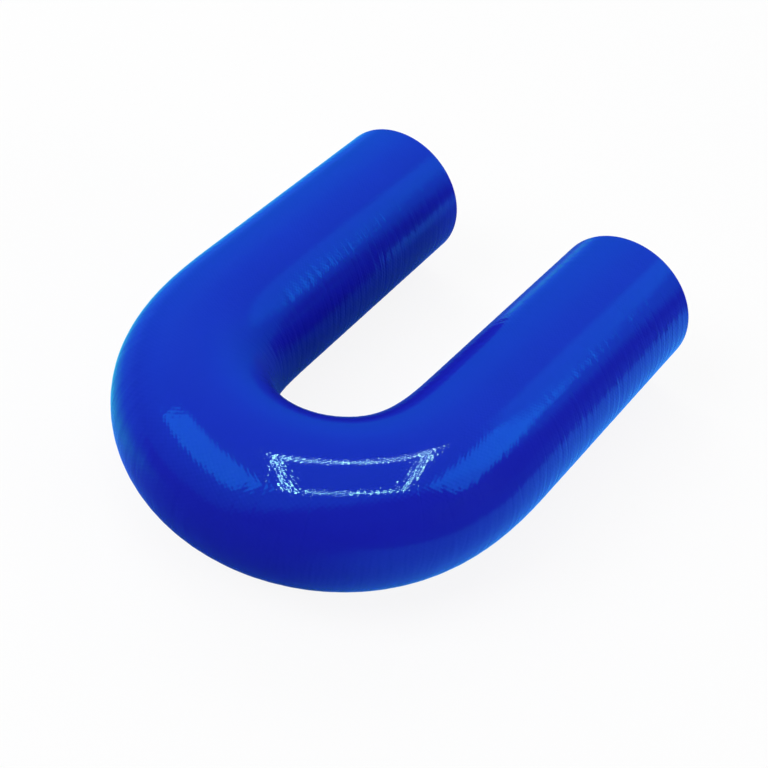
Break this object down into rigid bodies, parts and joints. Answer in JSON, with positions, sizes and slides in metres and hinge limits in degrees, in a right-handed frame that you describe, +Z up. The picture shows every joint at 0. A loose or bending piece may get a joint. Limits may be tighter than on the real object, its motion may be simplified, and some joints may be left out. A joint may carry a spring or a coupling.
{
  "type": "silicone elbow hose",
  "caption": "Glossy moulded silicone hose bent through 180 degrees, with straight parallel legs and a plain open bore, for joining pipes in a coolant or intake system.",
  "frame": {"origin": "middle of the underside: the hose lies flat on the surface z = 0, centred in X and Y", "axes": "the bend is at the -Y end and both mouths open towards +Y, each leg leaning 1.2 degrees outwards; +Z is up out of the plane of the bend; the hose is the same on both sides of the plane X = 0"},
  "size_m": [0.1684, 0.2058, 0.059],
  "materials": {
    "blue_silicone": "deep blue glossy silicone rubber with the fine crosswise imprint of the cloth it was cured in"
  },
  "bodies": {
    "root": {"elbow_hose": "blue_silicone"}
  },
  "joints": []
}
